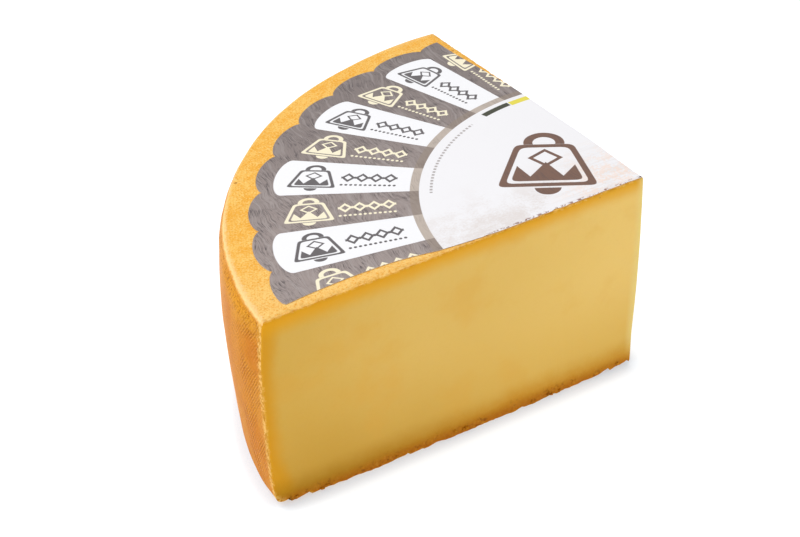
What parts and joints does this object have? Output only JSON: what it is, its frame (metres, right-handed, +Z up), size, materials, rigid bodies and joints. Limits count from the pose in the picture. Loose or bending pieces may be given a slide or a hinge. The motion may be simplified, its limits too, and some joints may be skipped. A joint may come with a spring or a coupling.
{
  "type": "raclette quarter wheel",
  "caption": "Quarter of a round raclette cheese wheel, cut square, with rind all round and a thin scalloped paper label on its top.",
  "frame": {"origin": "on the table, under the middle of the part's box", "axes": "+Z up through the thickness of the wheel, -Y out of the first cut face, +X out of the second cut face; the rind curves round the -X +Y side"},
  "size_m": [0.1504, 0.1452, 0.0826],
  "materials": {
    "cheese": "satin",
    "label": "satin"
  },
  "bodies": {
    "root": {"cheese": "cheese", "label": "label"}
  },
  "joints": []
}
